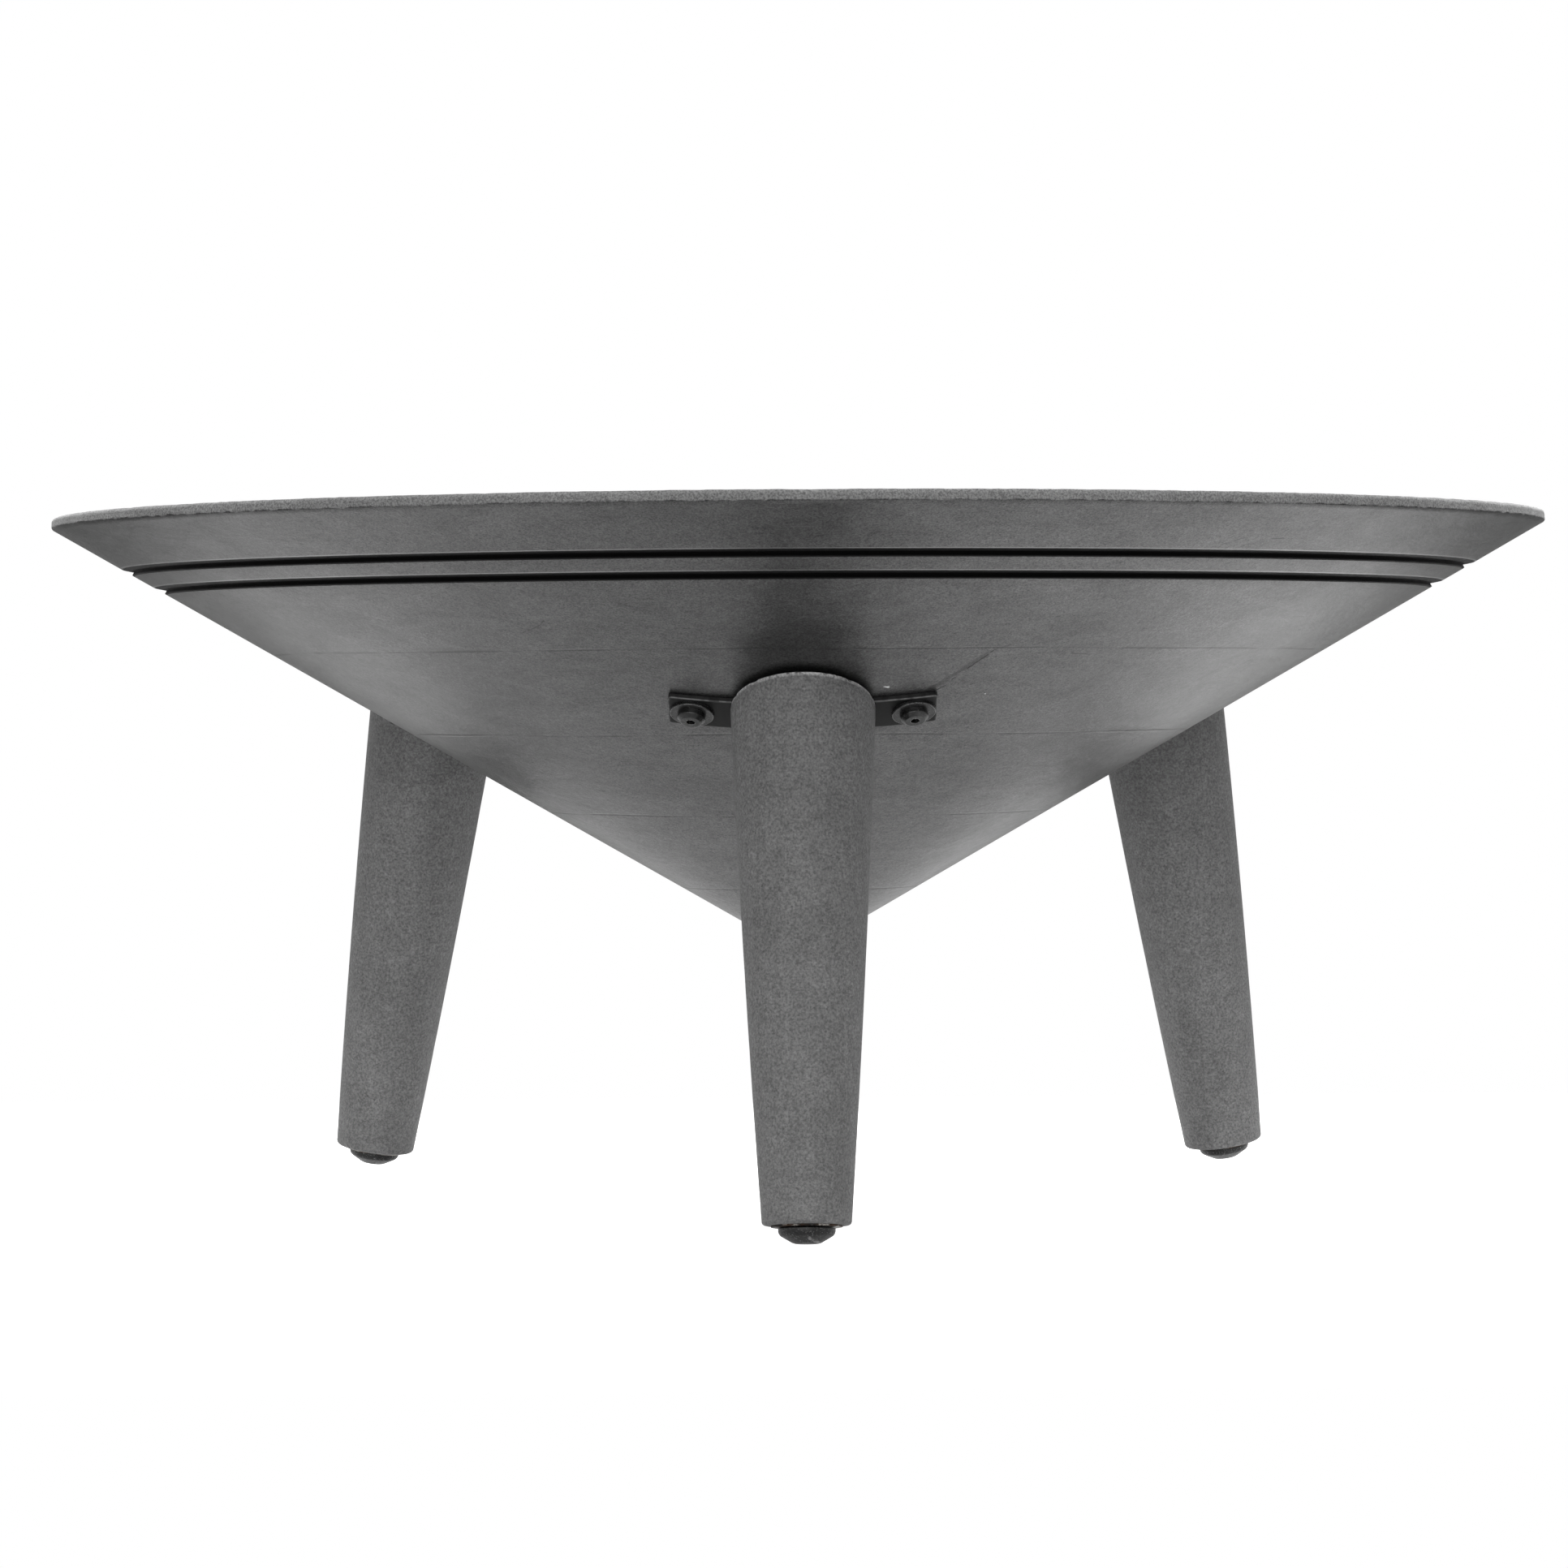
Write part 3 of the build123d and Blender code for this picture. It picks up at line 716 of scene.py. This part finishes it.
def leg_column(local, turn):
    """One line of the leg's surface, from the end of its bore round to the cut top, with its wear."""
    side = Vector((cos(turn), sin(turn), 0))
    column = list(LEG_BORE)
    for share in (0.5, 1):
        flat = LEG_SEAT_RADIUS + share * (LEG_END_RADIUS - LEG_END_ROUND - LEG_SEAT_RADIUS)
        column.append((flat, 0.0))
    for step in range(1, LEG_END_STEPS + 1):
        bend = pi / 2 * step / LEG_END_STEPS
        radius = leg_radius(LEG_END_ROUND) - LEG_END_ROUND * (1 - sin(bend))
        column.append((radius, LEG_END_ROUND * (1 - cos(bend))))
    top = leg_top(local, turn)
    clear = top - LEG_TOP_BLEND
    for step in range(1, LEG_RISES + 1):
        up = LEG_END_ROUND + (clear - LEG_END_ROUND) * step / LEG_RISES
        column.append((leg_radius(up), up))
    points = [side * radius - Vector((0, 0, up)) for radius, up in column]
    wears = [0.0] * len(points)

    # the cut face follows the strap's outer side round the cone
    corner = side * leg_radius(top) - Vector((0, 0, top))
    cut = []
    for share in (0.93, 0.7, 0.4, 0.0):
        inner = Vector((corner.x * share, corner.y * share, -top))
        point = local @ inner
        target = wall_height(hypot(point.x, point.y), STRAP_THICKNESS)
        cut.append(inner + Vector((0, 0, (point.z - target) / cos(LEG_LEAN))))

    # rounded edge between the side and the cut face, where the wear is
    below = points[-1]
    for step in range(1, LEG_TOP_STEPS + 1):
        t = step / LEG_TOP_STEPS
        points.append(below * (1 - t) ** 2 + corner * 2 * t * (1 - t) + cut[0] * t ** 2)
        wears.append(1.0 if 1 < step < LEG_TOP_STEPS else 0.6)
    points += cut[1:]
    wears += [0.0] * (len(cut) - 1)
    return side, points, wears


def close_leg(piece, rings):
    """Merge the last ring of vertices to a point and close the bore's end with a flat face."""
    work = bmesh.new()
    work.from_mesh(piece.data)
    work.verts.ensure_lookup_table()
    last = work.verts[(rings - 1) * LEG_SIDES:rings * LEG_SIDES]
    bmesh.ops.pointmerge(work, verts=last, merge_co=last[0].co)
    work.verts.ensure_lookup_table()
    work.faces.new(reversed(work.verts[:LEG_SIDES]))
    bmesh.ops.recalc_face_normals(work, faces=work.faces)
    work.to_mesh(piece.data)
    work.free()


def make_leg(place, degrees, material):
    """Cast leg with a slightly uneven side and chips in its top edge."""
    local = leg_frame()
    rotation = local.to_3x3()
    turned = Matrix.Rotation(radians(degrees), 4, "Z")
    seed = Vector((degrees * 0.37, 5.1, 2.3))     # each leg has its own unevenness
    uneven_scale, uneven_depth = LEG_UNEVEN
    chip_scale, chip_depth = LEG_CHIPS
    columns = []
    for i in range(LEG_SIDES):
        side, points, wears = leg_column(local, 2 * pi * i / LEG_SIDES)
        placed = [turned @ local @ point for point in points[:len(LEG_BORE)]]
        for point, wear in list(zip(points, wears))[len(LEG_BORE):]:
            spot = local @ point
            uneven = min(0.0, noise.noise(spot * uneven_scale + seed)) * uneven_depth
            chip = max(0.0, noise.noise(spot * chip_scale + seed) - 0.12) * chip_depth * wear
            shift = rotation @ side * (uneven - chip)
            placed.append(turned @ (spot + shift))
        columns.append((placed, wears))
    rings = len(columns[0][0])
    vertices = [placed[ring] for ring in range(rings) for placed, _ in columns]
    wear = [wears[ring] for ring in range(rings) for _, wears in columns]
    piece = make_object(f"{place}_leg_casting", vertices, ring_faces(rings, LEG_SIDES), material, wear)
    close_leg(piece, rings)
    stand_for(piece, f"{place}_leg")


# ======== straps ========

def on_cone(along, across, offset):
    """Point of the strap, from its flat pattern: along it, up the wall, and out from the wall."""
    slant = hypot(STRAP_SLANT + across, along)
    azimuth = atan2(along, STRAP_SLANT + across) / cos(SLOPE)
    radius = slant * cos(SLOPE) + offset * sin(SLOPE)
    height = TIP + slant * sin(SLOPE) - offset * cos(SLOPE)
    return Vector((radius * sin(azimuth), -radius * cos(azimuth), height))


def strap_outline():
    """Rounded rectangle of the flat bar, as points a few millimetres apart."""
    across = STRAP_LENGTH / 2 - STRAP_CORNER_ROUND
    upwards = STRAP_WIDTH / 2 - STRAP_CORNER_ROUND
    outline = []
    for side, up, start in ((1, 1, 0), (-1, 1, pi / 2), (-1, -1, pi), (1, -1, 3 * pi / 2)):
        outline += arc((side * across, up * upwards), STRAP_CORNER_ROUND, start, start + pi / 2, 6)
        if side == up:
            goal = (-side * across, outline[-1][1])
        else:
            goal = (outline[-1][0], -up * upwards)
        outline += line(outline[-1], goal, 3 * MM)[1:]
    return outline


def inset_point(x, y, inset):
    """A point of the strap's outline, moved in from its edge."""
    across = STRAP_LENGTH / 2 - STRAP_CORNER_ROUND
    upwards = STRAP_WIDTH / 2 - STRAP_CORNER_ROUND
    inner = Vector((max(-across, min(across, x)), max(-upwards, min(upwards, y))))
    outward = Vector((x, y)) - inner
    return Vector((x, y)) - outward.normalized() * inset


def fill_face(piece, start, around):
    """Close a ring of vertices with triangles."""
    work = bmesh.new()
    work.from_mesh(piece.data)
    work.verts.ensure_lookup_table()
    ring = work.verts[start:start + around]
    edges = [work.edges.get((ring[i], ring[(i + 1) % around])) for i in range(around)]
    bmesh.ops.triangle_fill(work, use_beauty=True, edges=edges)
    bmesh.ops.recalc_face_normals(work, faces=work.faces)
    work.to_mesh(piece.data)
    work.free()
    piece.data.polygons.foreach_set("use_smooth", [True] * len(piece.data.polygons))


def make_strap(place, degrees, material):
    """Flat bar with rounded corners and softened edges, bent round the cone."""
    turned = Matrix.Rotation(radians(degrees), 4, "Z")
    outline = strap_outline()
    # (offset from the wall, inset from the edge, wear) of each ring, from the wall outwards
    rings = [(0.2 * MM, 0.15 * MM, 0.0), (0.5 * MM, 0.0, 0.1), (2.2 * MM, 0.0, 0.1)]
    for step in range(STRAP_EDGE_STEPS + 1):
        bend = pi / 2 * step / STRAP_EDGE_STEPS
        offset = STRAP_THICKNESS - EDGE_SOFT * (1 - sin(bend))
        inset = EDGE_SOFT * (1 - cos(bend))
        rings.append((offset, inset, 0.9 if 0 < step < STRAP_EDGE_STEPS else 0.4))
    rings.append((STRAP_THICKNESS, 1.4 * MM, 0.0))
    vertices = []
    wear = []
    for offset, inset, worn in rings:
        for x, y in outline:
            point = inset_point(x, y, inset)
            vertices.append(turned @ on_cone(point.x, point.y, offset))
            wear.append(worn)
    around = len(outline)
    faces = ring_faces(len(rings), around)
    piece = make_object(f"{place}_strap_bar", vertices, faces, material, wear)
    fill_face(piece, (len(rings) - 1) * around, around)
    fill_face(piece, 0, around)
    stand_for(piece, f"{place}_leg_strap")


# ======== pads ========

# (radius, depth under the leg's end) round the pocket for the stud's head, from its floor to its mouth
PAD_POCKET = (
    (PAD_POCKET_RADIUS, PAD_POCKET_FLOOR),
    (PAD_POCKET_RADIUS, PAD_POCKET_TOP),
    (PAD_NECK_RADIUS, PAD_POCKET_TOP),
    (PAD_NECK_RADIUS, PAD_TOP),
)


def pad_outline():
    """Pad from the pocket for the stud's head, over its top and side, to the middle of the sole."""
    bevel_drop = (PAD_RADIUS - PAD_SOLE_RADIUS) * tan(PAD_BEVEL)
    shoulder = PAD_BOTTOM - bevel_drop
    points = list(PAD_POCKET)
    points += line(points[-1], (PAD_RADIUS - EDGE_SOFT, PAD_TOP), 3 * MM)[1:]
    points += arc((PAD_RADIUS - EDGE_SOFT, PAD_TOP + EDGE_SOFT), EDGE_SOFT, -pi / 2, 0, 4)
    turn = pi / 2 - PAD_BEVEL
    reach = PAD_SHOULDER_ROUND * tan(turn / 2)
    centre = (PAD_RADIUS - PAD_SHOULDER_ROUND, shoulder - reach)
    points += arc(centre, PAD_SHOULDER_ROUND, 0, turn, 8)
    sole_centre = (SOLE_CORNER, PAD_BOTTOM - PAD_SOLE_ROUND)
    points += arc(sole_centre, PAD_SOLE_ROUND, turn, pi / 2, 8)
    points += line(points[-1], (0, PAD_BOTTOM), 1.5 * MM)[1:]
    return points


def make_pad(place, degrees, material):
    """Moulded pad, a little worn round its side and sole."""
    local = Matrix.Rotation(radians(degrees), 4, "Z") @ leg_frame()
    outline = pad_outline()
    scale, depth = PAD_WEAR
    vertices = []
    for rank, (radius, down) in enumerate(outline):
        beyond_pocket = rank >= len(PAD_POCKET)
        outside = beyond_pocket and down >= PAD_TOP + 1 * MM and radius >= PAD_NECK_RADIUS + 1 * MM
        for i in range(PAD_SIDES):
            turn = 2 * pi * i / PAD_SIDES
            side = Vector((cos(turn), sin(turn), 0))
            point = side * radius + Vector((0, 0, down))
            if outside:
                wear = max(0.0, noise.noise(point * scale + Vector((degrees, 0, 0))))
                point -= side * wear * depth
            vertices.append(local @ point)
    middle = len(vertices)
    vertices.append(local @ Vector((0, 0, PAD_BOTTOM)))
    faces = ring_faces(len(outline), PAD_SIDES)
    last = (len(outline) - 1) * PAD_SIDES
    faces += [(last + i, last + (i + 1) % PAD_SIDES, middle) for i in range(PAD_SIDES)]
    faces.append(tuple(reversed(range(PAD_SIDES))))
    piece = make_object(f"{place}_pad_moulding", vertices, faces, material)
    stand_for(piece, f"{place}_foot_pad", f"{place}_pad")


# ======== assembly ========

def finish_cad_node(node, material):
    """Give a CAD node, kept as it is, its material."""
    piece = frame["nodes"][node]
    piece.data.materials.clear()
    piece.data.materials.append(material)


bowl_iron = bowl_material()
leg_iron = leg_material()
black_steel = painted_steel()
bolt_steel = fastener_steel()
zinc = zinc_steel()
nylon = pad_nylon()

make_bowl(bowl_iron)
for place, degrees in PLACES.items():
    make_leg(place, degrees, leg_iron)
    make_strap(place, degrees, black_steel)
    make_pad(place, degrees, nylon)
    for kind in ("strap_bolts", "strap_washers", "leg_screws"):
        finish_cad_node(f"{place}_{kind}", bolt_steel)
    for kind in ("foot_bush", "foot_stud"):
        finish_cad_node(f"{place}_{kind}", zinc)


# ======== studio ========

TABLE_HALF = 0.56        # the floor is level and pale this far out, then fades out
TABLE_FADE = 0.25
TABLE_TOP = -FOOT_TRAVEL * cos(LEG_LEAN)   # as low as the feet reach when screwed all the way out
TABLE_GREY = 0.86
TABLE_GLOW = 0.6         # brings the pale floor up to the backdrop's white where it is seen
SKY_LIGHT = 0.8
UNDER_LIGHT = 0.2
HORIZON = (-0.12, 0.02)  # upward share of a direction where light from below turns into the sky's
CAMERA_PLACE = (-0.0258, -3.0147, 0.3096)
CAMERA_HEADING = radians(-0.31)
CAMERA_DIP = radians(1.1326)
CAMERA_ROLL = radians(-0.3376)
CAMERA_LENS = 111.66     # in millimetres, as the sensor's width is
CAMERA_SENSOR = 36
BOWL_LIT = ("bowl_iron", "studio_floor")
REST_LIT = ("leg_iron", "black_steel", "fastener_steel", "pad_nylon")
LIGHTS = {
    # name: place, target, size, power, spread in degrees, the materials it reaches
    "left_back": ((-1.25, 1.25, 1.0), (-0.55, 0.37, 0), (0.7, 0.7), 3.4, 50, BOWL_LIT),
    "right_back": ((1.25, 1.25, 1.0), (0.55, 0.37, 0), (0.7, 0.7), 5.3, 50, BOWL_LIT),
    "front_low": ((-0.5, -2.8, 0.6), (0, 0, 0.25), (2.4, 1.0), 20, 180, REST_LIT),
}


def make_floor():
    """Pale floor, fading out into the plain backdrop, and clear when it is looked at from below."""
    material = bpy.data.materials.new("studio_floor")
    material.use_nodes = True
    tree = material.node_tree
    shader = tree.nodes["Principled BSDF"]
    position = add(tree, "ShaderNodeTexCoord").outputs["Object"]
    parts = add(tree, "ShaderNodeSeparateXYZ", {0: position}).outputs
    reach = maths(tree, "MAXIMUM", maths(tree, "ABSOLUTE", parts[0]), maths(tree, "ABSOLUTE", parts[1]))
    seen = add(tree, "ShaderNodeLightPath").outputs["Is Camera Ray"]
    shader.inputs["Base Color"].default_value = grey(TABLE_GREY)
    shader.inputs["Emission Color"].default_value = grey(1.0)
    tree.links.new(maths(tree, "MULTIPLY", seen, TABLE_GLOW), shader.inputs["Emission Strength"])
    front_side = maths(tree, "SUBTRACT", 1.0, add(tree, "ShaderNodeNewGeometry").outputs["Backfacing"])
    half = TABLE_HALF + TABLE_FADE
    fade = spread(tree, reach, half, TABLE_HALF)
    tree.links.new(maths(tree, "MULTIPLY", fade, front_side), shader.inputs["Alpha"])
    shader.inputs["Roughness"].default_value = 0.9
    shader.inputs["Specular IOR Level"].default_value = 0.1
    corners = [(x * half, y * half, TABLE_TOP) for x, y in ((-1, -1), (1, -1), (1, 1), (-1, 1))]
    mesh = bpy.data.meshes.new("floor")
    mesh.from_pydata(corners, [], [(0, 1, 2, 3)])
    mesh.materials.append(material)
    floor = bpy.data.objects.new("floor", mesh)
    bpy.context.scene.collection.objects.link(floor)


def make_light(name, place, target, size, power, spread_angle, reached):
    """Soft box that lights only the pieces of the materials named."""
    data = bpy.data.lights.new(name, "AREA")
    data.shape = "RECTANGLE"
    data.size, data.size_y = size
    data.energy = power
    data.spread = radians(spread_angle)
    light = bpy.data.objects.new(name, data)
    light.location = place
    light.rotation_mode = "QUATERNION"
    light.rotation_quaternion = (Vector(target) - Vector(place)).to_track_quat("-Z", "Y")
    bpy.context.scene.collection.objects.link(light)
    lit = bpy.data.collections.new(f"lit_by_{name}")
    for piece in bpy.context.scene.objects:
        slots = [slot.material.name for slot in piece.material_slots if slot.material]
        if any(slot.startswith(reached) for slot in slots):
            lit.objects.link(piece)
    light.light_linking.receiver_collection = lit


def make_world():
    """Soft light from all round and above, in front of a plain white backdrop."""
    world = bpy.data.worlds.new("studio")
    world.use_nodes = True
    tree = world.node_tree
    background = tree.nodes["Background"]
    direction = add(tree, "ShaderNodeTexCoord").outputs["Generated"]
    up = add(tree, "ShaderNodeSeparateXYZ", {0: direction}).outputs[2]
    sky = spread(tree, up, *HORIZON, UNDER_LIGHT, SKY_LIGHT)
    seen = add(tree, "ShaderNodeLightPath").outputs["Is Camera Ray"]
    background.inputs["Color"].default_value = grey(1.0)
    tree.links.new(maths(tree, "MAXIMUM", sky, seen), background.inputs["Strength"])
    bpy.context.scene.world = world


def make_camera():
    """Long lens in front of the object, at about three quarters of its height."""
    data = bpy.data.cameras.new("camera")
    data.lens = CAMERA_LENS
    data.sensor_width = CAMERA_SENSOR
    camera = bpy.data.objects.new("camera", data)
    heading = Matrix.Rotation(CAMERA_HEADING, 4, "Z")
    pitch = Matrix.Rotation(pi / 2 - CAMERA_DIP, 4, "X")
    roll = Matrix.Rotation(CAMERA_ROLL, 4, "Z")
    camera.matrix_world = Matrix.Translation(CAMERA_PLACE) @ heading @ pitch @ roll
    bpy.context.scene.collection.objects.link(camera)
    bpy.context.scene.camera = camera


make_floor()
make_world()
for name, settings in LIGHTS.items():
    make_light(name, *settings)
make_camera()
bpy.context.scene.view_settings.view_transform = "Standard"
